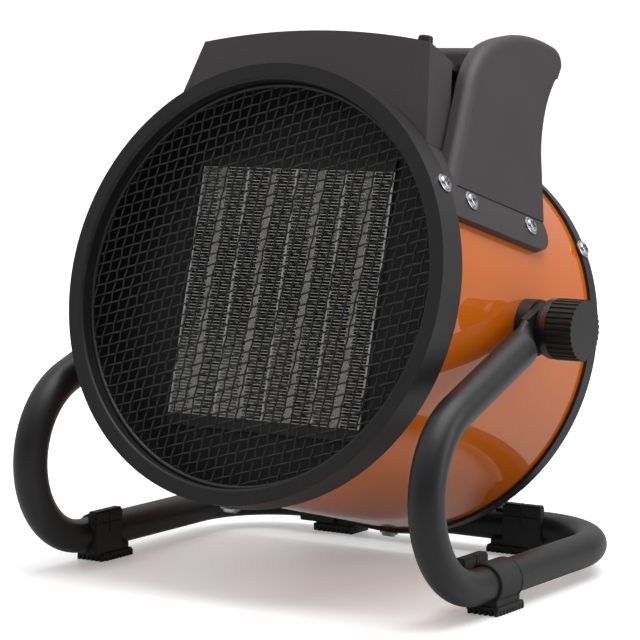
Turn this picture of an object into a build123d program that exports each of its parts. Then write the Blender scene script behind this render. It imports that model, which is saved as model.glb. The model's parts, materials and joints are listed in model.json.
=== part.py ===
from build123d import *
from math import asin, atan2, cos, hypot, radians, sin, tan
import os

os.makedirs("parts", exist_ok=True)

# ---------------------------------------------------------------------------
# Round ceramic fan heater on a bent-tube stand.
# Millimetres. +Z is up, the heater blows towards -Y, X is left to right.
# The origin is on the floor, below the middle of the whole heater.
# ---------------------------------------------------------------------------

# Pose of the drum on its stand
tilt = 14.7  # nose-up angle of the drum axis at rest, degrees
pivot_y = 11.15  # tilt pivot, behind the origin
pivot_height = 107.7
pivot_depth = 78.0  # pivot, measured back from the front plane along the drum axis

# Drum and rings
ring_radius = 90.0
ring_depth = 14.9
ring_wall = 1.6
ring_opening = 83.1
rim_round = 2.9
drum_radius = 86.0
drum_wall = 0.8
drum_front = 8.4
drum_back = 136.2
rear_ring_radius = 87.5
rear_ring_front = 131.4
rear_ring_back = 139.35
rear_opening = 80.0

# Heating element
element_front = 23.5
element_depth = 13.0
element_half_width = 47.1
element_bottom = -53.0
fin_step = 1.3
fin_legs = 81
fin_gauge = 0.3
strip_pitch = 24.08
strip_width = 3.0
divider_gauge = 0.8

# Fan
impeller_radius = 70.0
impeller_front = 60.0
impeller_depth = 18.0
blade_count = 7
blade_pitch = 38.0
shaft_radius = 3.0
running_gap = 0.05
motor_front = 92.0
motor_back = 120.0
motor_radius = 28.0

# Top housing and handle
saddle_inner = drum_radius + 0.1
saddle_outer = 89.5
saddle_angle = 68.0
saddle_corner = 11.0
saddle_front = 15.1
saddle_back = 97.0
shell_wall = 2.6
fascia_depth = 15.3
deck_height = 100.0
housing_back = 80.0
cheek_foot = 53.0  # height above the drum axis where the outer face of a cheek starts
cheek_half = 75.5  # half width over the cheeks at that height
cheek_lean = 10.2
cheek_thickness = 8.0
cheek_round = 4.5

# Screws, knobs and pivot
screw_angle = 60.0  # from the top of the drum
saddle_screw_angle = 61.8
screw_head_radius = 4.25
screw_radius = 1.5
bolt_radius = 4.0
lug_inner = 91.9
lug_outer = 95.5
clamp_radius = 12.5
knob_x = 31.5
knob_depth = 57.0

# Stand
tube_radius = 7.25
tube_wall = 1.5
stand_half = 97.5  # tube centre line to the middle plane, along the floor
stand_splay = 0.027  # the sides lean in by this much per millimetre of height
runner_height = 11.9
bend_radius = 36.4
corner_radius = 38.0
bend_y = pivot_y - 59.6
cross_y = pivot_y + 63.4
run_above_pivot = 1.9  # the tube's centre line passes this far above the pivot

axial = Vector(0, cos(radians(tilt)), -sin(radians(tilt)))
upward = Vector(0, sin(radians(tilt)), cos(radians(tilt)))
across = Vector(1, 0, 0)
pivot = Vector(0, pivot_y, pivot_height)
front_centre = pivot - axial * pivot_depth
drum_axis = Axis(front_centre, axial)
side = Plane(origin=front_centre, x_dir=axial, z_dir=across)
sides = (("left", -1), ("right", 1))


def station(depth):
    """Plane across the drum, at a depth behind its front. It faces forwards."""
    return Plane(origin=front_centre + axial * depth, x_dir=across, z_dir=-axial)


def tangent(angle, depth, radius):
    """Plane that touches the drum at an angle from its top. It faces outwards."""
    out = across * sin(radians(angle)) + upward * cos(radians(angle))
    return Plane(origin=front_centre + axial * depth + out * radius, x_dir=axial, z_dir=out)


def beside(x):
    """Plane square to the tilt pivot, centred on it. It faces away from the drum."""
    return Plane(origin=pivot + across * x, x_dir=axial, z_dir=across * (1 if x > 0 else -1))


def save(builder, name):
    builder.part.label = name
    export_step(builder.part, f"parts/{name}.step")


def turned(start, end, outer, inner=0.0):
    """A ring or disc on the drum axis, between two depths."""
    with BuildPart() as piece:
        with BuildSketch(station(end)):
            Circle(outer)
            if inner:
                Circle(inner, mode=Mode.SUBTRACT)
        extrude(amount=end - start)
    return piece


def screw_set(seats, length):
    """Washer-head cross-recess screws, one on each seat plane."""
    with BuildPart() as screws:
        for seat in seats:
            with BuildSketch(seat):
                Circle(screw_head_radius)
            extrude(amount=0.7)
            with BuildSketch(seat.offset(0.7)):
                Circle(3.3)
            extrude(amount=1.1, taper=22)
            with BuildSketch(seat):
                Circle(screw_radius)
            extrude(amount=-length)
            with BuildSketch(seat.offset(1.8)):
                Rectangle(3.6, 0.9)
                Rectangle(0.9, 3.6)
            extrude(amount=-1.1, mode=Mode.SUBTRACT)
    return screws


front_seats = [tangent(angle, 11.0, ring_radius) for angle in (-screw_angle, screw_angle, 180)]
saddle_seats = [
    tangent(angle, depth, saddle_outer)
    for depth in (31.7, 81.7)
    for angle in (-saddle_screw_angle, saddle_screw_angle)
]
rear_seats = [tangent(angle, 133.9, rear_ring_radius) for angle in (-61, 61, 180)]


def drill(seats, radius=screw_radius + 0.1):
    """Screw holes straight down through the walls below the seats."""
    for seat in seats:
        with BuildSketch(seat) as hole:
            Circle(radius)
        extrude(hole.sketch, amount=8, both=True, mode=Mode.SUBTRACT)


# ---------------------------------------------------------------------------
# Rings, grilles and drum
# ---------------------------------------------------------------------------
lip_depth = 5.0
with BuildPart() as front_ring:
    with BuildSketch(side):
        with BuildLine():
            Polyline(
                (0, ring_opening),
                (0, ring_radius),
                (ring_depth, ring_radius),
                (ring_depth, drum_radius + 0.1),
                (ring_depth - ring_wall, drum_radius + 0.1),
                (ring_depth - ring_wall, ring_radius - ring_wall),
                (ring_wall, ring_radius - ring_wall),
                (ring_wall, ring_opening + ring_wall),
                (lip_depth, ring_opening + ring_wall),
                (lip_depth, ring_opening),
                close=True,
            )
        make_face()
        front_corners = vertices().group_by(Axis.X)[0].sort_by(Axis.Y)
        fillet(front_corners[0], 1.4)
        fillet(front_corners[-1], rim_round)
    revolve(axis=drum_axis)
    drill(front_seats)
save(front_ring, "front_ring")

mesh_pitch = 8.8
mesh_rim = 80.6
hem_radius = 85.6
with BuildPart() as front_grille:
    with BuildSketch(station(lip_depth + 1.4)):
        Circle(hem_radius)
        with BuildSketch(Plane.XY, mode=Mode.SUBTRACT):
            for row in range(-11, 12):
                for column in range(-11, 12):
                    along = mesh_pitch * (column + 0.22 * row)
                    above = mesh_pitch * (0.25 * column + 0.98 * row)
                    if hypot(along, above) < mesh_rim - 5.5:
                        with Locations(Location((along, above, 0), 14.3)):
                            Rectangle(6.6, 6.6)
    extrude(amount=1.3)
    with BuildSketch(station(8.3)):
        Circle(hem_radius)
        Circle(mesh_rim, mode=Mode.SUBTRACT)
    extrude(amount=8.3 - lip_depth - 0.1)
save(front_grille, "front_grille")

wire_hole = tangent(0, 52, drum_radius)
pivot_seats = [beside(-drum_radius), beside(drum_radius)]
with BuildPart() as drum_shell:
    with BuildSketch(station(drum_back)):
        Circle(drum_radius)
        Circle(drum_radius - drum_wall, mode=Mode.SUBTRACT)
    extrude(amount=drum_back - drum_front)
    drill(front_seats)
    drill(saddle_seats)
    drill(rear_seats)
    drill(pivot_seats, bolt_radius + 0.1)
    drill([wire_hole], 6.0)
save(drum_shell, "drum_shell")

with BuildPart() as rear_ring:
    with BuildSketch(side):
        with BuildLine():
            Polyline(
                (rear_ring_front, drum_radius + 0.1),
                (rear_ring_front, rear_ring_radius),
                (rear_ring_back, rear_ring_radius),
                (rear_ring_back, rear_opening),
                (rear_ring_back - 1.5, rear_opening),
                (rear_ring_back - 1.5, drum_radius + 0.1),
                close=True,
            )
        make_face()
        fillet(vertices().group_by(Axis.X)[-1].sort_by(Axis.Y)[-1], 2.4)
    revolve(axis=drum_axis)
    drill(rear_seats)
save(rear_ring, "rear_ring")

guard_front = 136.3
guard_back = rear_ring_back - 1.6
with BuildPart() as rear_grille:
    with BuildSketch(station(guard_back)):
        Circle(85.8)
        Circle(rear_opening - 1.2, mode=Mode.SUBTRACT)
        for radius in range(70, 9, -9):
            Circle(radius + 0.9)
            Circle(radius - 0.9, mode=Mode.SUBTRACT)
        Circle(9)
        with PolarLocations(43, 6, start_angle=90):
            Rectangle(74, 2.4)
    extrude(amount=guard_back - guard_front)
save(rear_grille, "rear_grille")

save(screw_set(front_seats, 6.5), "front_ring_screws")
save(screw_set(rear_seats, 4.5), "rear_ring_screws")
save(screw_set(saddle_seats, 6.5), "saddle_screws")

# ---------------------------------------------------------------------------
# Heating element: four ceramic strips with corrugated fins on both sides
# ---------------------------------------------------------------------------
element_back = element_front + element_depth
element_top = element_bottom + (fin_legs - 1) * fin_step + fin_gauge
element_middle = (element_top + element_bottom) / 2
element_height = element_top - element_bottom


def uprights(name, places, width, inset=0.0):
    """Flat strips standing in the element, from its bottom to its top."""
    with BuildPart() as strips:
        with BuildSketch(station(element_back - inset)):
            with Locations(*[(x, element_middle) for x in places]):
                Rectangle(width, element_height)
        extrude(amount=element_depth - 2 * inset)
    save(strips, name)


def fin_outline(left, right):
    """Corner points of one corrugated fin: level legs, linked in turn right and left."""
    rising = []
    falling = []
    for leg in range(fin_legs - 1):
        low = element_bottom + leg * fin_step + fin_gauge
        high = low + fin_step - fin_gauge
        if leg % 2:
            inner = left + fin_gauge
            rising += [(right, low), (inner, low), (inner, high), (right, high)]
        else:
            inner = right - fin_gauge
            falling += [(left, low), (inner, low), (inner, high), (left, high)]
    start = [(left, element_bottom), (right, element_bottom)]
    return start + rising + [(right, element_top), (left, element_top)] + falling[::-1]


strip_places = [strip_pitch * (index - 1.5) for index in range(4)]
side_place = element_half_width - divider_gauge / 2
uprights("ceramic_strips", strip_places, strip_width, 0.4)
uprights("fin_dividers", [-strip_pitch, 0, strip_pitch], divider_gauge)
uprights("element_sides", [-side_place, side_place], divider_gauge)

for number, x in enumerate(strip_places, 1):
    near_left = x - strip_pitch / 2 + divider_gauge / 2
    near_right = x + strip_pitch / 2 - divider_gauge / 2
    left = max(near_left, divider_gauge - element_half_width)
    right = min(near_right, element_half_width - divider_gauge)
    gaps = ((left, x - strip_width / 2), (x + strip_width / 2, right))
    for half, (low_x, high_x) in zip("ab", gaps):
        with BuildPart() as fin:
            with BuildSketch(station(element_back - 0.2)):
                with BuildLine():
                    Polyline(*fin_outline(low_x, high_x), close=True)
                make_face()
            extrude(amount=element_depth - 0.4)
        save(fin, f"heating_fin_{number}{half}")

holder_height = 5.0
for name, middle in (
    ("element_holder_top", element_top + holder_height / 2),
    ("element_holder_bottom", element_bottom - holder_height / 2),
):
    with BuildPart() as holder:
        with BuildSketch(station(element_back)):
            with Locations((0, middle)):
                Rectangle(2 * element_half_width, holder_height)
        extrude(amount=element_depth)
    save(holder, name)

baffle_depth = 25.0
baffle_wall = 1.0
baffle_rim = 15.5
opening_height = element_height + 2 * holder_height + 0.4
with BuildPart() as element_baffle:
    with BuildSketch(station(baffle_depth + baffle_wall)):
        Circle(drum_radius - drum_wall - 0.1)
        with Locations((0, element_middle)):
            Rectangle(2 * element_half_width + 0.4, opening_height, mode=Mode.SUBTRACT)
    extrude(amount=baffle_wall)
    with BuildSketch(station(baffle_depth)):
        Circle(drum_radius - drum_wall - 0.1)
        Circle(drum_radius - drum_wall - 0.9, mode=Mode.SUBTRACT)
    extrude(amount=baffle_rim)
    drill(front_seats)
save(element_baffle, "element_baffle")

with BuildPart() as element_terminals:
    with BuildSketch(station(element_back + 9)):
        with Locations(*[(x, element_top + holder_height / 2) for x in strip_places]):
            Rectangle(6.3, 0.8)
    extrude(amount=9)
save(element_terminals, "element_terminals")

cutout_x = 62.0
with BuildPart() as thermal_cutout:
    with BuildSketch(station(baffle_depth + baffle_wall + 8)):
        with Locations((cutout_x, 0)):
            Circle(8)
    extrude(amount=8)
    with BuildSketch(station(baffle_depth + baffle_wall + 15)):
        with Locations((cutout_x - 3.5, 0), (cutout_x + 3.5, 0)):
            Rectangle(0.8, 6.3)
    extrude(amount=7.2)
save(thermal_cutout, "thermal_cutout")

# ---------------------------------------------------------------------------
# Fan and motor
# ---------------------------------------------------------------------------
hub_radius = 20.0
hub_back = impeller_front + impeller_depth
with BuildPart() as fan_impeller:
    with BuildSketch(station(hub_back)):
        Circle(hub_radius)
    extrude(amount=impeller_depth)
    with BuildSketch(station(hub_back)):
        Circle(hub_radius - 2)
        Circle(7, mode=Mode.SUBTRACT)
    extrude(amount=impeller_depth - 3, mode=Mode.SUBTRACT)
    for blade in range(blade_count):
        root = tangent(360 / blade_count * blade, impeller_front + impeller_depth / 2, hub_radius - 1)
        chord = root.x_dir * cos(radians(blade_pitch)) + root.y_dir * sin(radians(blade_pitch))
        with BuildSketch(Plane(origin=root.origin, x_dir=chord, z_dir=root.z_dir)):
            Rectangle(22, 1.6)
        extrude(amount=impeller_radius - hub_radius + 1)
    with BuildSketch(station(hub_back)):
        Circle(shaft_radius)
    extrude(amount=impeller_depth, mode=Mode.SUBTRACT)
save(fan_impeller, "fan_impeller")

bush_length = 6.0
can_wall = 1.5
save(turned(impeller_front - 6, motor_back - 0.5, shaft_radius), "motor_shaft")
save(turned(impeller_front - 4, impeller_front, 5.5, shaft_radius), "impeller_nut")
save(turned(motor_front, motor_front + bush_length, 6.0, shaft_radius + running_gap), "motor_bush_front")
save(turned(motor_back - bush_length, motor_back, 6.0, shaft_radius + running_gap), "motor_bush_rear")
save(turned(motor_front + 8, motor_back - 8, 14.6, shaft_radius), "motor_rotor")
save(turned(motor_front + 8, motor_back - 8, motor_radius - can_wall - 0.1, 15.0), "motor_stator")

with BuildPart() as motor_housing:
    with BuildSketch(station(motor_back - can_wall)):
        Circle(motor_radius)
        Circle(motor_radius - can_wall, mode=Mode.SUBTRACT)
    extrude(amount=motor_back - can_wall - motor_front)
    with BuildSketch(station(motor_front + can_wall)):
        Circle(motor_radius - can_wall)
        Circle(6.0, mode=Mode.SUBTRACT)
    extrude(amount=can_wall)
save(motor_housing, "motor_housing")
save(turned(motor_back - can_wall, motor_back, motor_radius, 6.0), "motor_end_cap")

bracket_gauge = 1.5
bracket_reach = drum_radius - drum_wall - 0.1
with BuildPart() as motor_bracket:
    with BuildSketch(station(motor_back + bracket_gauge)):
        Circle(bracket_reach)
        Rectangle(3 * drum_radius, 26, mode=Mode.INTERSECT)
    extrude(amount=bracket_gauge)
    with BuildSketch(station(motor_back)):
        Circle(bracket_reach)
        Circle(bracket_reach - bracket_gauge, mode=Mode.SUBTRACT)
        Rectangle(3 * drum_radius, 26, mode=Mode.INTERSECT)
    extrude(amount=10)
save(motor_bracket, "motor_bracket")

# ---------------------------------------------------------------------------
# Top housing: saddle with the two handle cheeks, front panel, deck and grip
# ---------------------------------------------------------------------------
cheek_normal = across * cos(radians(cheek_lean)) + upward * sin(radians(cheek_lean))
cheek_face = Plane(
    origin=front_centre + across * cheek_half + upward * cheek_foot, x_dir=axial, z_dir=cheek_normal
)


def on_cheek(depth, height):
    """A point of a cheek's outline, from its depth and its height above the drum axis."""
    return (depth, (height - cheek_foot) / cos(radians(cheek_lean)))


def is_cheek_rim(edge):
    """True for the front and top edges around the outer face of a cheek."""
    place = edge.center() - front_centre
    in_face = abs((edge.center() - cheek_face.origin).dot(cheek_normal)) < 0.1
    return in_face and (place.dot(upward) > 114 or (place.dot(axial) < 50 and place.dot(upward) > 60))


def is_saddle_corner(edge):
    """True for the two corners of the saddle that are low and at its back."""
    place = edge.center() - front_centre
    low = abs(place.X) > 70 and place.dot(upward) < 40
    return low and abs(place.dot(axial) - saddle_back) < 0.1 and edge.length < 5


saddle_length = saddle_back - saddle_front
with BuildPart() as handle_shell:
    with BuildSketch(cheek_face):
        with BuildLine():
            foot_edge = Line(on_cheek(97, 47), on_cheek(20.3, 47))
            front_edge = Line(foot_edge @ 1, on_cheek(38, 92))
            shoulder = TangentArc(front_edge @ 1, on_cheek(58, 114.5), tangent=front_edge % 1)
            crest = TangentArc(shoulder @ 1, on_cheek(114, 127.3), tangent=shoulder % 1)
            nose = TangentArc(crest @ 1, on_cheek(120.8, 117.5), tangent=crest % 1)
            lip = Polyline(nose @ 1, on_cheek(118.5, 114), on_cheek(112, 111.5))
            back_edge = ThreePointArc(lip @ 1, on_cheek(100.5, 93), on_cheek(96.5, 76))
            Line(back_edge @ 1, foot_edge @ 0)
        make_face()
    extrude(amount=-cheek_thickness)
    fillet(edges().filter_by(is_cheek_rim), cheek_round)
    mirror(about=Plane.YZ)
    with BuildSketch(station(saddle_back)):
        Circle(saddle_outer)
        with BuildLine():
            half_sector = PolarLine((0, 0), 140, 90 - saddle_angle)
            PolarLine((0, 0), 140, 90 + saddle_angle)
            Line(half_sector @ 1, (140, 140))
            Line((140, 140), (-140, 140))
            Line((-140, 140), (-(half_sector @ 1).X, (half_sector @ 1).Y))
        make_face(mode=Mode.INTERSECT)
    extrude(amount=saddle_length)
    with BuildSketch(station(saddle_back + 30)):
        Circle(saddle_inner)
    extrude(amount=saddle_length + 60, mode=Mode.SUBTRACT)
    fillet(edges().filter_by(is_saddle_corner), saddle_corner)
    drill(saddle_seats)
    drill([wire_hole], 6.0)
save(handle_shell, "handle_shell")

fascia_lean = 9.0
fascia_foot = 57.0
fascia_normal = -axial * cos(radians(fascia_lean)) + upward * sin(radians(fascia_lean))
fascia_face = Plane(
    origin=front_centre + axial * 15 + upward * fascia_foot, x_dir=across, z_dir=fascia_normal
)


def arch(inset, half_top, corner, crown, half_foot, shrink=0.0):
    """A section of the front panel, behind its face, with heights above its foot."""
    low = -12.0
    left_top = (-half_top + shrink, corner - shrink)
    right_top = (half_top - shrink, corner - shrink)
    half_low = half_foot + (half_foot - half_top) * -low / corner - shrink
    with BuildSketch(fascia_face.offset(-inset)) as outline:
        with BuildLine():
            ThreePointArc(left_top, (0, crown - shrink), right_top)
            Polyline(right_top, (half_low, low), (-half_low, low), left_top)
        make_face()
    return outline.sketch


with BuildPart() as fascia:
    loft([arch(0, 55.6, 48.3, 53.4, 65.5), arch(fascia_depth, 58.2, 46.0, 50.6, 67.0)])
    inner_front = arch(shell_wall, 56.0, 47.9, 53.0, 65.7, shell_wall)
    inner_back = arch(fascia_depth + 1, 58.4, 45.8, 50.4, 67.2, shell_wall)
    loft([inner_front, inner_back], mode=Mode.SUBTRACT)
    with BuildSketch(station(60)):
        Circle(saddle_outer + 0.1)
    extrude(amount=60, mode=Mode.SUBTRACT)
save(fascia, "fascia")

knob_shaft_radius = 3.0


def on_deck(x, above=0.0):
    """Plane over the deck, at the depth of the knobs. It faces up."""
    place = front_centre + axial * knob_depth + across * x + upward * (deck_height + above)
    return Plane(origin=place, x_dir=across, z_dir=upward)


gland_place = (-44, 86)
housing_half = 53.5
housing_front = 36.0
deck_gauge = 2.6
with BuildPart() as control_housing:
    with BuildSketch(station(housing_back)):
        with Locations((0, 80)):
            Rectangle(2 * housing_half, 2 * (deck_height - deck_gauge - 80))
    extrude(amount=housing_back - housing_front)
    with BuildSketch(station(housing_back - shell_wall)):
        with Locations((0, 80)):
            Rectangle(2 * (housing_half - shell_wall), 60)
    extrude(amount=housing_back - shell_wall - housing_front, mode=Mode.SUBTRACT)
    with BuildSketch(station(housing_back + 10)):
        Circle(saddle_outer + 0.1)
    extrude(amount=housing_back, mode=Mode.SUBTRACT)
    with BuildSketch(station(housing_back + 10)):
        with Locations(gland_place):
            Circle(5.0)
    extrude(amount=20, mode=Mode.SUBTRACT)
save(control_housing, "control_housing")

deck_half = 57.6
deck_front = 38.3
with BuildPart() as control_panel:
    with BuildSketch(station(housing_back + 1)):
        with Locations((0, deck_height - deck_gauge / 2)):
            Rectangle(2 * deck_half, deck_gauge)
    extrude(amount=housing_back + 1 - deck_front)
    with BuildSketch(station(deck_front + 2)):
        with BuildLine():
            left_top = (-54.0, deck_height + 1.2)
            right_top = (54.0, deck_height + 1.2)
            ThreePointArc(left_top, (0, deck_height + 5.6), right_top)
            Polyline(right_top, (56.5, deck_height - deck_gauge), (-56.5, deck_height - deck_gauge), left_top)
        make_face()
    extrude(amount=2)
    for x in (-knob_x, knob_x):
        with BuildSketch(on_deck(x)):
            Circle(knob_shaft_radius + 0.3)
        extrude(amount=8, both=True, mode=Mode.SUBTRACT)
save(control_panel, "control_panel")

grip_depth = 112.0
grip_height = 118.2
with BuildPart() as handle_grip:
    with BuildSketch(side):
        with Locations((grip_depth, grip_height)):
            RectangleRounded(14.6, 12.6, 4.5)
    extrude(amount=57, both=True)
    add(handle_shell.part, mode=Mode.SUBTRACT)
save(handle_grip, "handle_grip")

gland_bore = 3.6
with BuildPart() as cable_gland:
    with BuildSketch(station(housing_back + 14)):
        with Locations(gland_place):
            Circle(5.2)
            Circle(gland_bore, mode=Mode.SUBTRACT)
    extrude(amount=14)
    with BuildSketch(station(housing_back + 3)):
        with Locations(gland_place):
            Circle(6.8)
            Circle(gland_bore, mode=Mode.SUBTRACT)
    extrude(amount=3)
    with BuildSketch(station(housing_back)):
        with Locations(gland_place):
            Circle(5.0)
            Circle(gland_bore, mode=Mode.SUBTRACT)
    extrude(amount=shell_wall)
    with BuildSketch(station(housing_back - shell_wall)):
        with Locations(gland_place):
            Circle(6.2)
            Circle(gland_bore, mode=Mode.SUBTRACT)
    extrude(amount=2)
save(cable_gland, "cable_gland")

with BuildPart() as wire_grommet:
    with BuildSketch(wire_hole):
        Circle(6.0)
        Circle(4.0, mode=Mode.SUBTRACT)
    extrude(amount=3.4)
    with BuildSketch(wire_hole.offset(-drum_wall - 1.7)):
        Circle(7.5)
        Circle(4.0, mode=Mode.SUBTRACT)
    extrude(amount=1.2)
    with BuildSketch(wire_hole.offset(-drum_wall - 0.6)):
        Circle(6.0)
        Circle(4.0, mode=Mode.SUBTRACT)
    extrude(amount=drum_wall + 0.6)
save(wire_grommet, "wire_grommet")

# ---------------------------------------------------------------------------
# Controls: a thermostat and a switch below the deck, each with its own knob
# ---------------------------------------------------------------------------
knob_skirt = 11.0
knob_height = 14.8
knob_grip = 7.4
knob_turn = 33.5  # the grip points this far from straight back
for name, body_name, x in (
    ("thermostat_knob", "thermostat", knob_x),
    ("mode_knob", "mode_switch", -knob_x),
):
    with BuildPart() as knob:
        with BuildSketch(on_deck(x, 0.6)):
            Circle(knob_skirt)
        extrude(amount=3.4)
        fillet(knob.edges().group_by(Axis(front_centre, upward))[-1], 0.8)
        with BuildSketch(on_deck(x, 3)):
            SlotOverall(2 * knob_skirt - 2, knob_grip, rotation=90 + knob_turn)
        extrude(amount=knob_height - 3, taper=3)
        fillet(knob.edges().group_by(Axis(front_centre, upward))[-1], 1.0)
        with BuildSketch(on_deck(x, -8)):
            Circle(knob_shaft_radius)
        extrude(amount=knob_height + 3)
    save(knob, name)
    with BuildPart() as switch:
        with BuildSketch(on_deck(x, -deck_gauge)):
            Rectangle(20, 20)
            Circle(knob_shaft_radius + running_gap, mode=Mode.SUBTRACT)
        extrude(amount=-8)
    save(switch, body_name)

with BuildPart() as terminal_block:
    with BuildSketch(Plane(origin=front_centre + upward * (saddle_outer + 0.1), x_dir=across, z_dir=upward)):
        with Locations((0, 68)):
            Rectangle(34, 12)
    extrude(amount=6)
save(terminal_block, "terminal_block")

# ---------------------------------------------------------------------------
# Tilt pivot: on each side a bolt, a plate inside the drum, a spacer, a washer
# and a clamp knob with a flanged insert
# ---------------------------------------------------------------------------
plate_gauge = 2.0
plate_outer = drum_radius - drum_wall - 0.1
bolt_seat = plate_outer - plate_gauge - 1
bolt_end = 109.0
spacer_start = 84.0
joint_gap = 0.3
insert_face = 97.7
knob_face = 100.4
knob_end = 112.3
knurl_count = 32
with BuildPart() as pivot_plates:
    with BuildSketch(station(pivot_depth + 18)):
        Circle(plate_outer)
        Circle(plate_outer - plate_gauge, mode=Mode.SUBTRACT)
        Rectangle(120, 38, mode=Mode.SUBTRACT)
        Rectangle(180, 38, mode=Mode.INTERSECT)
    extrude(amount=36)
    drill(pivot_seats, bolt_radius + 0.1)
save(pivot_plates, "pivot_plates")

with BuildPart() as pivot_bolts:
    for sign in (-1, 1):
        with BuildSketch(beside(sign * (bolt_seat - 3))):
            Circle(8)
        extrude(amount=3.2)
        with BuildSketch(beside(sign * bolt_seat)):
            Circle(bolt_radius)
        extrude(amount=bolt_end - bolt_seat)
    chamfer(edges().group_by(Axis.X)[0], 0.6)
    chamfer(edges().group_by(Axis.X)[-1], 0.6)
save(pivot_bolts, "pivot_bolts")

with BuildPart() as pivot_spacers:
    for sign in (-1, 1):
        with BuildSketch(beside(sign * spacer_start)):
            Circle(11.5)
            Circle(bolt_radius + 0.1, mode=Mode.SUBTRACT)
        extrude(amount=lug_inner - joint_gap - spacer_start)
    with BuildSketch(station(pivot_depth + 20)):
        Circle(drum_radius + 0.05)
    extrude(amount=40, mode=Mode.SUBTRACT)
save(pivot_spacers, "pivot_spacers")

with BuildPart() as clamp_washers:
    for sign in (-1, 1):
        with BuildSketch(beside(sign * (lug_outer + joint_gap))):
            Circle(11.5)
            Circle(bolt_radius + 0.1, mode=Mode.SUBTRACT)
        extrude(amount=1.6)
save(clamp_washers, "clamp_washers")

for name, sign in sides:
    with BuildPart() as clamp_insert:
        with BuildSketch(beside(sign * insert_face)):
            Circle(clamp_radius - 0.1)
        extrude(amount=knob_face - insert_face)
        with BuildSketch(beside(sign * knob_face)):
            Circle(7)
        extrude(amount=7)
        with BuildSketch(beside(sign * insert_face)):
            Circle(bolt_radius + running_gap)
        extrude(amount=20, mode=Mode.SUBTRACT)
    save(clamp_insert, f"clamp_insert_{name}")

    with BuildPart() as clamp_knob:
        with BuildSketch(beside(sign * knob_face)):
            Circle(clamp_radius)
            with PolarLocations(clamp_radius + 0.15, knurl_count):
                Circle(0.75, mode=Mode.SUBTRACT)
        extrude(amount=knob_end - knob_face)
        with BuildSketch(beside(sign * knob_face)):
            Circle(7)
        extrude(amount=7, mode=Mode.SUBTRACT)
        with BuildSketch(beside(sign * knob_face)):
            Circle(bolt_radius + 0.4)
        extrude(amount=bolt_end + 0.6 - knob_face, mode=Mode.SUBTRACT)
    save(clamp_knob, f"clamp_knob_{name}")

# ---------------------------------------------------------------------------
# Stand: one bent tube with crushed ends, and four rubber feet clipped on
# ---------------------------------------------------------------------------
rise = pivot_height + run_above_pivot - runner_height
back = pivot_y - bend_y
run_angle = atan2(rise - bend_radius, back) - asin(bend_radius / hypot(back, rise - bend_radius))
corner_y = bend_y - bend_radius / tan(run_angle / 2)
crush_start = 23.0  # the tube starts to flatten this far before the pivot
crush_end = 13.5
lug_half = 8.6


def side_point(sign, y, height):
    """A point of the tube's centre line, from its place along a side and its height."""
    return Vector(sign * (stand_half - stand_splay * height), y, runner_height + height)


def run_point(sign, before_pivot):
    """A point of the upper run, a distance before the pivot."""
    y = pivot_y - before_pivot * cos(run_angle)
    return side_point(sign, y, rise - before_pivot * sin(run_angle))


with BuildPart() as stand_tube:
    with BuildLine() as tube_path:
        FilletPolyline(
            run_point(-1, crush_start),
            side_point(-1, corner_y, 0),
            side_point(-1, cross_y, 0),
            side_point(1, cross_y, 0),
            side_point(1, corner_y, 0),
            run_point(1, crush_start),
            radius=[bend_radius, corner_radius, corner_radius, bend_radius],
        )
    start_plane = Plane(origin=tube_path.line @ 0, z_dir=tube_path.line % 0)
    with BuildSketch(start_plane):
        Circle(tube_radius)
        Circle(tube_radius - tube_wall, mode=Mode.SUBTRACT)
    sweep(path=tube_path.line)
    for sign in (-1, 1):
        toward = (run_point(sign, 0) - run_point(sign, 10)).normalized()
        crushed = run_point(sign, crush_end)
        flat_centre = Vector(sign * (lug_inner + lug_outer) / 2, crushed.Y, crushed.Z)
        with BuildSketch(Plane(origin=run_point(sign, crush_start), x_dir=across, z_dir=toward)):
            Circle(tube_radius)
        with BuildSketch(Plane(origin=flat_centre, x_dir=across, z_dir=toward)):
            RectangleRounded(lug_outer - lug_inner, 2 * lug_half, 1.7)
        loft()
        lug_plane = Plane(
            origin=(sign * lug_inner, pivot_y, pivot_height),
            x_dir=(0, cos(run_angle), sin(run_angle)),
            z_dir=(sign, 0, 0),
        )
        offset_up = run_above_pivot * cos(run_angle) * sign * -1
        with BuildSketch(lug_plane):
            with Locations((-crush_end / 2, -offset_up)):
                Rectangle(crush_end, 2 * lug_half)
            with Locations((0, -offset_up)):
                Circle(lug_half)
        extrude(amount=lug_outer - lug_inner)
        with BuildSketch(lug_plane):
            Circle(bolt_radius + running_gap)
        extrude(amount=10, both=True, mode=Mode.SUBTRACT)
save(stand_tube, "stand_tube")

sole_half = 8.5
sleeve_wall = 2.4
rib_pitch = 2.2


def clip_foot(name, middle, along, inward):
    """A rubber foot on the tube: along points to the nearest bend, inward to the other tubes."""
    flipped = along.cross(Vector(0, 0, 1)).dot(inward) > 0
    inward_sign = -1 if flipped else 1
    frame = Plane(origin=middle, x_dir=along, z_dir=(0, 0, 1))
    section = Plane(origin=middle - along * 10.5, x_dir=inward, z_dir=along)
    with BuildPart() as foot:
        with BuildSketch(section):
            Circle(tube_radius + sleeve_wall)
        extrude(amount=21)
        with BuildSketch(frame.offset(-runner_height)):
            with Locations((-1.5, 0)):
                Rectangle(25, 2 * sole_half)
        extrude(amount=7)
        with BuildSketch(frame):
            with Locations((8, inward_sign * 6.3)):
                Rectangle(21, 5.4)
        extrude(amount=11.6)
        with BuildSketch(section.offset(-20)):
            Circle(tube_radius)
        extrude(amount=60, mode=Mode.SUBTRACT)
        add(stand_tube.part, mode=Mode.SUBTRACT)
        with BuildSketch(frame.offset(-runner_height)):
            with GridLocations(rib_pitch, 0, 10, 1):
                Rectangle(0.9, 2 * sole_half)
        extrude(amount=0.9, mode=Mode.SUBTRACT)
    save(foot, name)


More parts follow.
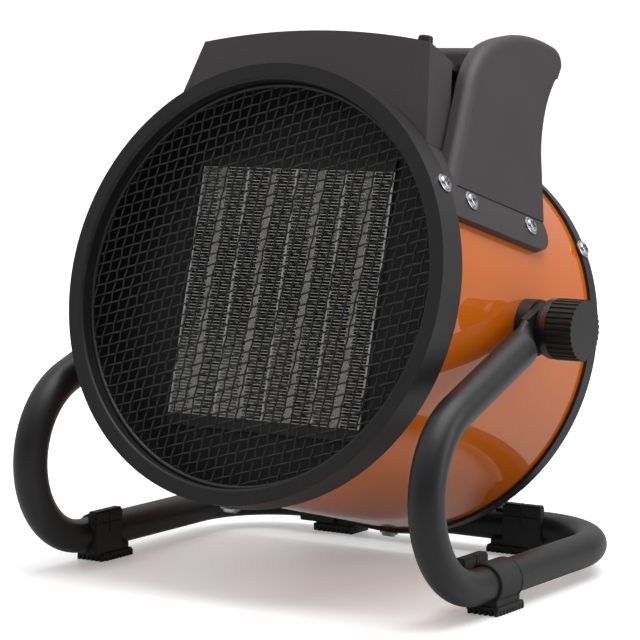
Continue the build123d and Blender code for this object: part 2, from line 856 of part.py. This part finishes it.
front_foot_y = pivot_y - 45.7
rear_foot_x = 46.2
for name, sign in sides:
    inward = Vector(-sign, 0, 0)
    clip_foot(f"foot_front_{name}", side_point(sign, front_foot_y, 0), Vector(0, -1, 0), inward)
    rear_middle = Vector(sign * rear_foot_x, cross_y, runner_height)
    clip_foot(f"foot_rear_{name}", rear_middle, Vector(sign, 0, 0), Vector(0, -1, 0))
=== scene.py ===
import json
import math
import random

import bmesh
import bpy
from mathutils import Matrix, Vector


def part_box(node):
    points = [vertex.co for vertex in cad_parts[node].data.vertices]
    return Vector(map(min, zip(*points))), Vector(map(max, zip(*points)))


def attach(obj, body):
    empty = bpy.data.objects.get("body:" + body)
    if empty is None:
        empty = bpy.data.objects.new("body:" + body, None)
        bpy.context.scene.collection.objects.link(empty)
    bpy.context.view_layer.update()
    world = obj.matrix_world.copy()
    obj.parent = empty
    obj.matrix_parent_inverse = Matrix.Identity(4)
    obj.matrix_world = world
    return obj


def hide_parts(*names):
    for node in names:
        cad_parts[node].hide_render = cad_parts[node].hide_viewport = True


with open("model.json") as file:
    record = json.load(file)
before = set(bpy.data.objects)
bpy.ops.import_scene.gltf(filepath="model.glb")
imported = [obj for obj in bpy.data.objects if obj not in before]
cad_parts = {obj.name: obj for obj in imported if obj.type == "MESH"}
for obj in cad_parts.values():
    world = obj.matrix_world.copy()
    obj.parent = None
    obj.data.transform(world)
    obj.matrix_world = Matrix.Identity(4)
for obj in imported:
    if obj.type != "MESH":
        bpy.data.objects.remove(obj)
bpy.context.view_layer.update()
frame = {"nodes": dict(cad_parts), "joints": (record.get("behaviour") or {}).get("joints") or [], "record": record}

MM = 0.001
joints = {joint["name"]: joint for joint in frame["joints"]}
PIVOT = Vector(joints["heater_tilt"]["pos_m"])
AXIAL = Vector(joints["fan_spin"]["axis"]).normalized()
UPWARD = Vector((1, 0, 0)).cross(AXIAL)
ACROSS = Vector((1, 0, 0))
PIVOT_DEPTH = 78.0
FRONT_CENTRE = PIVOT - AXIAL * PIVOT_DEPTH * MM


def drum(x, depth, height):
    """A place on the drum: across, behind its front plane, and above its axis, in millimetres."""
    return FRONT_CENTRE + (ACROSS * x + AXIAL * depth + UPWARD * height) * MM


def on_drum(angle, depth, radius):
    """A place on the drum by its angle from the top, in degrees."""
    return drum(radius * math.sin(math.radians(angle)), depth, radius * math.cos(math.radians(angle)))


# ---------------------------------------------------------------------------
# Materials
# ---------------------------------------------------------------------------
def node_material(name):
    material = bpy.data.materials.new(name)
    material.use_nodes = True
    nodes = material.node_tree.nodes
    return material, nodes, material.node_tree.links, nodes["Principled BSDF"]


def noise(nodes, links, scale, detail=6.0, roughness=0.6):
    coordinates = nodes.new("ShaderNodeTexCoord")
    texture = nodes.new("ShaderNodeTexNoise")
    texture.inputs["Scale"].default_value = scale
    texture.inputs["Detail"].default_value = detail
    texture.inputs["Roughness"].default_value = roughness
    links.new(coordinates.outputs["Object"], texture.inputs["Vector"])
    return texture


def ramp(nodes, links, source, low, high, start=0.3, end=0.7):
    blend = nodes.new("ShaderNodeValToRGB")
    blend.color_ramp.elements[0].position = start
    blend.color_ramp.elements[1].position = end
    blend.color_ramp.elements[0].color = low
    blend.color_ramp.elements[1].color = high
    links.new(source, blend.inputs["Fac"])
    return blend


def grey(value):
    return (value, value, value, 1.0)


def finish(
    name,
    dark,
    light,
    rough=(0.35, 0.45),
    metallic=0.0,
    patch=40.0,
    grain=900.0,
    bump=0.1,
    coat=0.0,
    coat_rough=0.1,
    coat_ior=1.5,
    specular=0.5,
):
    """A moulded, painted or bare surface: slow colour patches, and fine grain in roughness and relief."""
    material, nodes, links, shader = node_material(name)
    patches = noise(nodes, links, patch, 4.0)
    colour = ramp(nodes, links, patches.outputs["Fac"], (*dark, 1.0), (*light, 1.0))
    links.new(colour.outputs["Color"], shader.inputs["Base Color"])
    fine = noise(nodes, links, grain, 3.0)
    gloss = ramp(nodes, links, fine.outputs["Fac"], grey(rough[0]), grey(rough[1]))
    links.new(gloss.outputs["Color"], shader.inputs["Roughness"])
    relief = nodes.new("ShaderNodeBump")
    relief.inputs["Strength"].default_value = bump
    relief.inputs["Distance"].default_value = 0.1 * MM
    links.new(fine.outputs["Fac"], relief.inputs["Height"])
    links.new(relief.outputs["Normal"], shader.inputs["Normal"])
    shader.inputs["Metallic"].default_value = metallic
    shader.inputs["Coat Weight"].default_value = coat
    shader.inputs["Coat Roughness"].default_value = coat_rough
    shader.inputs["Coat IOR"].default_value = coat_ior
    shader.inputs["Specular IOR Level"].default_value = specular
    return material


MATERIALS = {
    "ring_paint": finish(
        "ring_enamel", (0.012, 0.011, 0.0115), (0.016, 0.0145, 0.015), (0.38, 0.46), bump=0.12, specular=0.3
    ),
    "grille_wire": finish(
        "grille_coating",
        (0.008, 0.007, 0.007),
        (0.018, 0.016, 0.0155),
        (0.4, 0.5),
        grain=1500,
        bump=0.2,
        specular=0.4,
    ),
    "drum_paint": finish(
        "drum_enamel",
        (0.53, 0.110, 0.002),
        (0.57, 0.122, 0.003),
        (0.3, 0.34),
        patch=14,
        grain=200,
        bump=0.012,
        coat=1.0,
        coat_rough=0.03,
        coat_ior=1.5,
        specular=0.04,
    ),
    "screw_steel": finish(
        "bright_nickel", (0.36, 0.365, 0.39), (0.5, 0.505, 0.535), (0.2, 0.3), 1.0, 300, 2500, 0.08
    ),
    "zinc_steel": finish(
        "zinc_plate", (0.45, 0.46, 0.46), (0.6, 0.6, 0.58), (0.3, 0.45), 1.0, 120, 1200, 0.12
    ),
    "laminations": finish(
        "laminations", (0.05, 0.05, 0.055), (0.1, 0.1, 0.1), (0.5, 0.6), 0.8, 60, 900, 0.3
    ),
    "bush_bronze": finish(
        "bronze", (0.42, 0.26, 0.1), (0.55, 0.36, 0.16), (0.35, 0.5), 1.0, 200, 2000, 0.2
    ),
    "ceramic": finish(
        "ceramic_strip", (0.24, 0.235, 0.2), (0.42, 0.41, 0.36), (0.5, 0.65), 0.0, 160, 900, 0.2
    ),
    "fin_aluminium": finish(
        "fin_aluminium", (0.5, 0.5, 0.49), (0.86, 0.86, 0.85), (0.26, 0.4), 0.95, 700, 2500, 0.15
    ),
    "terminal_brass": finish(
        "brass_tab", (0.62, 0.44, 0.18), (0.74, 0.55, 0.26), (0.25, 0.4), 1.0, 200, 1500, 0.1
    ),
    "holder_plastic": finish(
        "holder_moulding", (0.01, 0.01, 0.01), (0.016, 0.016, 0.015), (0.5, 0.6), grain=1200
    ),
    "fan_plastic": finish(
        "fan_moulding", (0.014, 0.014, 0.015), (0.02, 0.02, 0.021), (0.42, 0.52), grain=1000
    ),
    "housing_plastic": finish(
        "housing_moulding",
        (0.026, 0.022, 0.024),
        (0.031, 0.0265, 0.029),
        (0.46, 0.54),
        grain=2600,
        bump=0.22,
        specular=0.42,
    ),
    "knob_plastic": finish(
        "knob_moulding",
        (0.006, 0.0055, 0.006),
        (0.010, 0.009, 0.009),
        (0.4, 0.5),
        grain=1800,
        specular=0.36,
    ),
    "insert_steel": finish(
        "turned_steel", (0.09, 0.09, 0.095), (0.15, 0.15, 0.155), (0.24, 0.34), 1.0, 200, 2200, 0.1
    ),
    "foot_rubber": finish(
        "foot_rubber", (0.008, 0.008, 0.009), (0.014, 0.014, 0.014), (0.6, 0.74), grain=1400, bump=0.25
    ),
    "stand_paint": finish(
        "powder_coat", (0.010, 0.010, 0.011), (0.015, 0.015, 0.016), (0.36, 0.45), grain=1300, bump=0.25,
        specular=0.34,
    ),
}

node_slots = {entry["node"]: entry["material_slot"] for entry in frame["record"]["subparts"]}
for node, thing in frame["nodes"].items():
    thing.data.materials.clear()
    thing.data.materials.append(MATERIALS[node_slots[node]])


# ---------------------------------------------------------------------------
# Mesh helpers
# ---------------------------------------------------------------------------
def add_piece(name, mesh_data, body, slot, replaced=()):
    """Puts a mesh into the scene as a piece of a body, in place of the CAD nodes that it replaces."""
    piece = bpy.data.objects.new(name, mesh_data)
    bpy.context.scene.collection.objects.link(piece)
    mesh_data.materials.append(MATERIALS[slot])
    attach(piece, body)
    if replaced:
        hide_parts(*replaced)
    return piece


def shade(mesh, angle=35.0):
    """Smooth shading that keeps corners sharper than an angle."""
    mesh.polygons.foreach_set("use_smooth", [True] * len(mesh.polygons))
    mesh.set_sharp_from_angle(angle=math.radians(angle))


def make_mesh(name, points, faces):
    mesh = bpy.data.meshes.new(name)
    mesh.from_pydata([tuple(point) for point in points], [], faces)
    mesh.validate()
    return mesh


def tube(points, faces, path, radius, sides=6, normal=None, closed=False):
    """Adds a tube along a path to lists of points and faces. The normal is square to a flat path."""
    first = len(points)
    count = len(path)
    for index, place in enumerate(path):
        before = path[index - 1] if index or closed else place
        after = path[(index + 1) % count] if index < count - 1 or closed else place
        direction = (after - before).normalized()
        side = direction.cross(normal).normalized()
        rise = side.cross(direction)
        for corner in range(sides):
            turn = 2 * math.pi * corner / sides
            points.append(place + (side * math.cos(turn) + rise * math.sin(turn)) * radius)
    rounds = count if closed else count - 1
    for index in range(rounds):
        here = first + index * sides
        there = first + (index + 1) % count * sides
        for corner in range(sides):
            following = (corner + 1) % sides
            faces.append((here + corner, here + following, there + following, there + corner))
    if not closed:
        faces.append(tuple(first + corner for corner in range(sides))[::-1])
        faces.append(tuple(first + (count - 1) * sides + corner for corner in range(sides)))


def circle_path(radius, depth, steps):
    return [on_drum(360 * step / steps, depth, radius) for step in range(steps)]


# ---------------------------------------------------------------------------
# Front grille: woven wire in a rolled hem
# ---------------------------------------------------------------------------
WEAVE_DEPTH = 6.1
WEAVE_PITCH = 4.4
WEAVE_ANGLES = (16.0, 84.7)
WIRE_RADIUS = 0.4
WEAVE_RADIUS = 82.6
WIRES_EACH_SIDE = 20
SHORTEST_WIRE_EDGE = 2.0  # wires closer to the edge than this are left out
CRIMP = 0.34
HEM_ROLLS = ((82.3, 6.3, 1.15), (84.2, 6.5, 1.2))  # radius, depth and half thickness of each roll


def woven_grille():
    """Two families of crimped wires that pass over and under each other, and the hem around them."""
    points, faces = [], []
    directions = [Vector((math.cos(math.radians(a)), math.sin(math.radians(a)))) for a in WEAVE_ANGLES]
    crossing = WEAVE_PITCH / math.sin(math.radians(WEAVE_ANGLES[1] - WEAVE_ANGLES[0]))
    for family, along in enumerate(directions):
        other = directions[1 - family]
        for wire in range(-WIRES_EACH_SIDE, WIRES_EACH_SIDE + 1):
            start = other * crossing * wire
            middle = -start.dot(along)
            clear = (start + along * middle).length
            if clear > WEAVE_RADIUS - SHORTEST_WIRE_EDGE:
                continue
            half = math.sqrt(WEAVE_RADIUS**2 - clear**2)
            steps = max(4, int(2 * half / crossing * 4))
            path = []
            for step in range(steps + 1):
                distance = middle - half + 2 * half * step / steps
                place = start + along * distance
                phase = math.pi * (distance / crossing + wire)
                lift = CRIMP * math.cos(phase) * (1 if family else -1)
                path.append(drum(place.x, WEAVE_DEPTH + lift, place.y))
            tube(points, faces, path, WIRE_RADIUS * MM, 6, AXIAL)
    for radius, depth, thickness in HEM_ROLLS:
        tube(points, faces, circle_path(radius, depth, 160), thickness * MM, 8, AXIAL, True)
    mesh = make_mesh("woven_grille", points, faces)
    shade(mesh, 60)
    return add_piece("woven_grille", mesh, "heater", "grille_wire", ["front_grille"])


woven_grille()


# ---------------------------------------------------------------------------
# Screws: washer head, domed, with a cross recess
# ---------------------------------------------------------------------------
HEAD_PROFILE = (
    (3.95, -0.05),
    (4.05, 0.25),
    (4.0, 0.55),
    (3.75, 0.72),
    (3.3, 0.72),
    (3.12, 0.8),
    (3.02, 1.2),
    (2.85, 1.5),
    (2.55, 1.72),
    (2.2, 1.86),
)
RECESS_ARM = 1.9
RECESS_HALF = 0.56
RECESS_DEPTH = 1.4
DOME_RADIUS = 2.1
DOME_HEIGHT = 1.98
DOME_CROWN = 0.12
DOME_RINGS = 18
HEAD_SEGMENTS = 64
SHANK_RADIUS = 1.9
SHANK_SEGMENTS = 24
SHANK_ENDS = (-0.05, -6.0)
HEAD_HEIGHT = 1.8
HEAD_REACH = 5.0  # a head's corners are all this close to its axis


def recess(across, along):
    """How far the cross recess goes below the dome at a place on the head."""
    deep = 0.0
    for u, v in ((across, along), (along, across)):
        if abs(v) < RECESS_HALF and abs(u) < RECESS_ARM:
            deep = max(deep, RECESS_DEPTH * min(1.0, (RECESS_ARM - abs(u)) / 0.7 + 0.25))
    return deep


def screw_head(points, faces, seat, outward, roll):
    """Adds one screw, standing on its seat."""
    side = outward.orthogonal().normalized()
    front = outward.cross(side)
    segments = HEAD_SEGMENTS
    rings = [(radius, height, False) for radius, height in HEAD_PROFILE]
    for step in range(DOME_RINGS):
        radius = DOME_RADIUS * (1 - step / DOME_RINGS)
        rings.append((radius, DOME_HEIGHT - DOME_CROWN * (radius / DOME_RADIUS) ** 2, True))
    first = len(points)
    for radius, height, crossed in rings:
        for segment in range(segments):
            turn = 2 * math.pi * segment / segments
            across, along = radius * math.cos(turn), radius * math.sin(turn)
            rise = height - (recess(across, along) if crossed else 0.0)
            spin = turn + roll
            points.append(
                seat
                + (side * math.cos(spin) + front * math.sin(spin)) * radius * MM
                + outward * rise * MM
            )
    for ring in range(len(rings) - 1):
        for segment in range(segments):
            following = (segment + 1) % segments
            here, there = first + ring * segments, first + (ring + 1) * segments
            faces.append((here + segment, here + following, there + following, there + segment))
    last = first + (len(rings) - 1) * segments
    faces.append(tuple(last + segment for segment in range(segments)))
    shank = len(points)
    for depth in SHANK_ENDS:
        for segment in range(SHANK_SEGMENTS):
            turn = 2 * math.pi * segment / SHANK_SEGMENTS
            away = (side * math.cos(turn) + front * math.sin(turn)) * SHANK_RADIUS
            points.append(seat + away * MM + outward * depth * MM)
    end = shank + SHANK_SEGMENTS
    for segment in range(SHANK_SEGMENTS):
        following = (segment + 1) % SHANK_SEGMENTS
        faces.append((end + segment, end + following, shank + following, shank + segment))
    faces.append(tuple(end + segment for segment in range(SHANK_SEGMENTS))[::-1])


def screws(node, seats):
    """Screws in place of a group, on seats found from the tops of its heads."""
    thing = frame["nodes"][node]
    corners = [thing.matrix_world @ vertex.co for vertex in thing.data.vertices]
    points, faces = [], []
    for angle, depth in seats:
        outward = (on_drum(angle, 0, 1) - on_drum(0, 0, 0)).normalized()
        axis_place = on_drum(0, depth, 0)
        near = []
        for corner in corners:
            away = corner - axis_place
            height = away.dot(outward)
            if (away - outward * height).length < HEAD_REACH * MM and height > 0:
                near.append(height)
        seat = axis_place + outward * (max(near) - HEAD_HEIGHT * MM)
        screw_head(points, faces, seat, outward, random.uniform(0, math.pi / 2))
    mesh = make_mesh(node + "_heads", points, faces)
    shade(mesh, 40)
    return add_piece(node + "_detail", mesh, "heater", "screw_steel", [node])


FRONT_SEATS = [(angle, 11.0) for angle in (-60, 60, 180)]
SADDLE_SEATS = [(angle, depth) for depth in (31.7, 81.7) for angle in (-61.8, 61.8)]
REAR_SEATS = [(angle, 133.9) for angle in (-61, 61, 180)]

random.seed(7)
screws("front_ring_screws", FRONT_SEATS)
screws("saddle_screws", SADDLE_SEATS)
screws("rear_ring_screws", REAR_SEATS)


# ---------------------------------------------------------------------------
# Rubber feet: a thin sleeve around the tube, a toothed sole and a gridded tab
# ---------------------------------------------------------------------------
def block(points, faces, origin, axes, low, high, chamfer=0.25):
    """Adds a box with chamfered edges, given along three axes from an origin, in millimetres."""
    shape = bmesh.new()
    bmesh.ops.create_cube(shape, size=1.0)
    for vertex in shape.verts:
        for axis in range(3):
            middle = (low[axis] + high[axis]) / 2
            vertex.co[axis] = middle + vertex.co[axis] * (high[axis] - low[axis])
    bmesh.ops.bevel(shape, geom=list(shape.edges), offset=chamfer, segments=2, affect="EDGES")
    first = len(points)
    shape.verts.index_update()
    for vertex in shape.verts:
        points.append(
            origin + (axes[0] * vertex.co[0] + axes[1] * vertex.co[1] + axes[2] * vertex.co[2]) * MM
        )
    turned = axes[0].cross(axes[1]).dot(axes[2]) < 0
    for face in shape.faces:
        loop = [first + vertex.index for vertex in face.verts]
        faces.append(tuple(loop[::-1] if turned else loop))
    shape.free()


def sleeve(points, faces, origin, axes, start, end, inner, outer, low, high):
    """Adds a part of a ring around the first axis, between two angles from the second one."""
    profile = [
        (low, inner),
        (low, outer - 0.4),
        (low + 0.4, outer),
        (high - 0.4, outer),
        (high, outer - 0.4),
        (high, inner),
    ]
    first = len(points)
    steps = 40
    for step in range(steps + 1):
        turn = math.radians(start + (end - start) * step / steps)
        radial = axes[1] * math.cos(turn) + axes[2] * math.sin(turn)
        for along, radius in profile:
            points.append(origin + (axes[0] * along + radial * radius) * MM)
    count = len(profile)
    turned = axes[0].cross(axes[1]).dot(axes[2]) < 0
    loops = []
    for step in range(steps):
        for index in range(count):
            following = (index + 1) % count
            here, there = first + step * count, first + (step + 1) * count
            loops.append((here + index, here + following, there + following, there + index))
    loops.append(tuple(first + index for index in range(count))[::-1])
    loops.append(tuple(first + steps * count + index for index in range(count)))
    faces.extend(loop if turned else loop[::-1] for loop in loops)


TUBE_RADIUS = 7.3
TUBE_HEIGHT = 11.9
CAD_FOOT_RADIUS = 9.65
CAD_FOOT_BACK = 14.0  # from the far end of a foot's CAD box to the middle of the foot
SLEEVE_RADIUS = 8.5
SLEEVE_HALF = 8.5
SLEEVE_ARC = (62, 318)
LIP_ARC = (118, 242)
LIP_RISE = 0.35
LIP_WIDTH = 1.7
NECK = ((-9.4, -6.2, -9.6), (9.0, 6.2, -5.6))
SOLE = ((-10.6, -7.2, -10.4), (9.8, 7.2, -8.4))
GROUND = -11.85
TOOTH_PITCH = 2.4
TEETH_ALONG = 8
TEETH_ACROSS = 6
TAB = ((-2.2, 4.4, -7.5), (16.5, 8.4, 10.6))
PAD_START = (-1.9, 1.2)
PAD_PITCH = (9.3, 4.75)
PAD_SIZE = (8.8, 4.3)
PAD_SIDES = ((8.2, 8.75), (4.05, 4.6))
PAD_TOP = (4.5, 8.3, 10.4, 11.0)
SMALL_CHAMFER = 0.2
TAB_CHAMFER = 0.4


def rubber_foot(node, along, inward):
    """One foot, on the tube axis found from its CAD box; along runs on the tube, to the near bend."""
    low, high = (Vector(corner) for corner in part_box(node))
    up = Vector((0, 0, 1))
    outer = max(low.dot(-inward), high.dot(-inward))
    ends = sorted((low.dot(along), high.dot(along)))
    middle = -inward * (outer - CAD_FOOT_RADIUS * MM) + along * (ends[0] + CAD_FOOT_BACK * MM)
    origin = middle + up * TUBE_HEIGHT * MM
    axes = (along, inward, up)
    points, faces = [], []
    ring = (-SLEEVE_HALF, SLEEVE_HALF)
    lip = (-SLEEVE_HALF, LIP_WIDTH - SLEEVE_HALF)
    sleeve(points, faces, origin, axes, *SLEEVE_ARC, TUBE_RADIUS, SLEEVE_RADIUS, *ring)
    sleeve(points, faces, origin, axes, *LIP_ARC, TUBE_RADIUS, SLEEVE_RADIUS + LIP_RISE, *lip)
    block(points, faces, origin, axes, *NECK)
    block(points, faces, origin, axes, *SOLE)
    for tooth in range(TEETH_ALONG):
        place = -11.0 + TOOTH_PITCH * tooth
        corners = ((place, -7.3, GROUND), (place + 1.55, 7.3, -9.2))
        block(points, faces, origin, axes, *corners, SMALL_CHAMFER)
    for tooth in range(TEETH_ACROSS):
        place = -7.0 + TOOTH_PITCH * tooth
        corners = ((-11.2, place, GROUND), (10.2, place + 1.5, -9.6))
        block(points, faces, origin, axes, *corners, SMALL_CHAMFER)
    block(points, faces, origin, axes, *TAB, TAB_CHAMFER)
    for column in range(2):
        left = PAD_START[0] + PAD_PITCH[0] * column
        right = left + PAD_SIZE[0]
        for row in range(2):
            bottom = PAD_START[1] + PAD_PITCH[1] * row
            for near, far in PAD_SIDES:
                corners = ((left, near, bottom), (right, far, bottom + PAD_SIZE[1]))
                block(points, faces, origin, axes, *corners, SMALL_CHAMFER)
        near, far, bottom, top = PAD_TOP
        block(points, faces, origin, axes, (left, near, bottom), (right, far, top), SMALL_CHAMFER)
    mesh = make_mesh(node + "_rubber", points, faces)
    shade(mesh, 40)
    return add_piece(node + "_detail", mesh, "stand", "foot_rubber", [node])


for node, along, inward in (
    ("foot_front_left", (0, -1, 0), (1, 0, 0)),
    ("foot_front_right", (0, -1, 0), (-1, 0, 0)),
    ("foot_rear_left", (-1, 0, 0), (0, -1, 0)),
    ("foot_rear_right", (1, 0, 0), (0, -1, 0)),
):
    rubber_foot(node, Vector(along), Vector(inward))


# ---------------------------------------------------------------------------
# Floor, lights and camera
# ---------------------------------------------------------------------------
AZIMUTH = math.radians(33.5)
ELEVATION = math.radians(6.13)
CAMERA_FROM_FRONT = Vector((595.9, -847.8, 95.9)) * MM
LENS = 146.25
SENSOR = 36.0


def camera():
    """A long lens that looks down at the heater from its front right."""
    data = bpy.data.cameras.new("camera")
    data.lens = LENS
    data.sensor_width = SENSOR
    data.clip_start = 0.02
    thing = bpy.data.objects.new("camera", data)
    bpy.context.scene.collection.objects.link(thing)
    forward = Vector(
        (
            -math.sin(AZIMUTH) * math.cos(ELEVATION),
            math.cos(AZIMUTH) * math.cos(ELEVATION),
            -math.sin(ELEVATION),
        )
    )
    thing.location = FRONT_CENTRE + CAMERA_FROM_FRONT
    thing.rotation_euler = forward.to_track_quat("-Z", "Y").to_euler()
    bpy.context.scene.camera = thing


FLOOR_HALF = 6.0
# painted light: the paper's colour is lighter to the camera than to other surfaces
PAPER_SEEN = 0.9
PAPER_BOUNCE = 0.5  # the paper is darker to other surfaces than to the camera
# painted light: how strongly the paper glows, weaker near the heater and weaker still to other surfaces than to
# the camera
PAINTED_GLOW_START = 0.12
PAINTED_GLOW_END = 0.34
PAINTED_GLOW_NEAR = 0.27
PAINTED_GLOW_FAR = 0.6
PAINTED_GLOW_BOUNCE = 0.25


def paper_material():
    """White paper with painted light: a glow that is weaker near the heater, where it lifts the shade under it,
    and stronger away from it, so that the paper has no edge.
    """
    material, nodes, links, shader = node_material("floor_paper")
    path = nodes.new("ShaderNodeLightPath")
    paper = nodes.new("ShaderNodeMix")
    paper.data_type = "RGBA"
    paper.inputs["A"].default_value = grey(PAPER_BOUNCE)
    paper.inputs["B"].default_value = grey(PAPER_SEEN)
    # painted light: the paper is lighter to the camera than to other surfaces
    links.new(path.outputs["Is Camera Ray"], paper.inputs["Factor"])
    links.new(paper.outputs["Result"], shader.inputs["Base Color"])
    shader.inputs["Roughness"].default_value = 0.4
    shader.inputs["Emission Color"].default_value = (1, 1, 1, 1)
    place = nodes.new("ShaderNodeTexCoord").outputs["Object"]
    distance = nodes.new("ShaderNodeVectorMath")
    distance.operation = "LENGTH"
    links.new(place, distance.inputs[0])
    # painted light: the glow is weaker near the heater, where it lifts the shade, and stronger further out
    painted_glow = nodes.new("ShaderNodeMapRange")
    painted_glow.interpolation_type = "SMOOTHSTEP"
    painted_glow.inputs["From Min"].default_value = PAINTED_GLOW_START
    painted_glow.inputs["From Max"].default_value = PAINTED_GLOW_END
    painted_glow.inputs["To Min"].default_value = PAINTED_GLOW_NEAR
    painted_glow.inputs["To Max"].default_value = PAINTED_GLOW_FAR
    links.new(distance.outputs["Value"], painted_glow.inputs["Value"])
    # painted light: the glow is stronger to the camera than to other surfaces
    seen = nodes.new("ShaderNodeMapRange")
    seen.inputs["To Min"].default_value = PAINTED_GLOW_BOUNCE
    links.new(path.outputs["Is Camera Ray"], seen.inputs["Value"])
    strength = nodes.new("ShaderNodeMath")
    strength.operation = "MULTIPLY"
    links.new(painted_glow.outputs["Result"], strength.inputs[0])
    links.new(seen.outputs["Result"], strength.inputs[1])
    links.new(strength.outputs["Value"], shader.inputs["Emission Strength"])
    return material


def floor():
    size = FLOOR_HALF
    corners = [(-size, -size, 0), (size, -size, 0), (size, size, 0), (-size, size, 0)]
    mesh = make_mesh("floor", corners, [(0, 1, 2, 3)])
    thing = bpy.data.objects.new("floor", mesh)
    bpy.context.scene.collection.objects.link(thing)
    mesh.materials.append(paper_material())


def area_light(name, place, target, size, power):
    data = bpy.data.lights.new(name, "AREA")
    data.shape = "RECTANGLE"
    data.size, data.size_y = size
    data.energy = power
    thing = bpy.data.objects.new(name, data)
    bpy.context.scene.collection.objects.link(thing)
    thing.location = place
    thing.rotation_euler = (Vector(target) - Vector(place)).to_track_quat("-Z", "Y").to_euler()


def toward(nodes, links, vector, direction, inner, outer, low, high):
    """A value that follows how far a vector points in one direction."""
    dot = nodes.new("ShaderNodeVectorMath")
    dot.operation = "DOT_PRODUCT"
    dot.inputs[1].default_value = direction
    links.new(vector, dot.inputs[0])
    spread = nodes.new("ShaderNodeMapRange")
    spread.interpolation_type = "SMOOTHSTEP"
    spread.inputs["From Min"].default_value = inner
    spread.inputs["From Max"].default_value = outer
    spread.inputs["To Min"].default_value = low
    spread.inputs["To Max"].default_value = high
    links.new(dot.outputs["Value"], spread.inputs["Value"])
    return spread.outputs["Result"]


def lights():
    """Two soft boxes, and a studio that is light above and behind and dark in front."""
    middle = (0, 0, 0.11)
    area_light("top_box", (0.3, 0.0, 1.5), middle, (1.3, 1.3), 20)
    area_light("right_box", (1.5, 0.6, 0.6), middle, (0.5, 1.0), 7)
    world = bpy.data.worlds.new("world")
    world.use_nodes = True
    nodes, links = world.node_tree.nodes, world.node_tree.links
    background = nodes["Background"]
    place = nodes.new("ShaderNodeTexCoord").outputs["Generated"]
    front = toward(nodes, links, place, (0.6, -0.8, 0.0), -0.1, 0.9, 0.52, 0.08)
    above = toward(nodes, links, place, (0.0, 0.0, 1.0), 0.2, 0.95, 0.0, 0.62)
    total = nodes.new("ShaderNodeMath")
    links.new(front, total.inputs[0])
    links.new(above, total.inputs[1])
    path = nodes.new("ShaderNodeLightPath")
    mix = nodes.new("ShaderNodeMix")
    mix.data_type = "RGBA"
    mix.inputs["B"].default_value = (1.2, 1.2, 1.2, 1)
    links.new(total.outputs["Value"], mix.inputs["A"])
    links.new(path.outputs["Is Camera Ray"], mix.inputs["Factor"])
    links.new(mix.outputs["Result"], background.inputs["Color"])
    bpy.context.scene.world = world
    bpy.context.scene.view_settings.view_transform = "Standard"


floor()
lights()
camera()
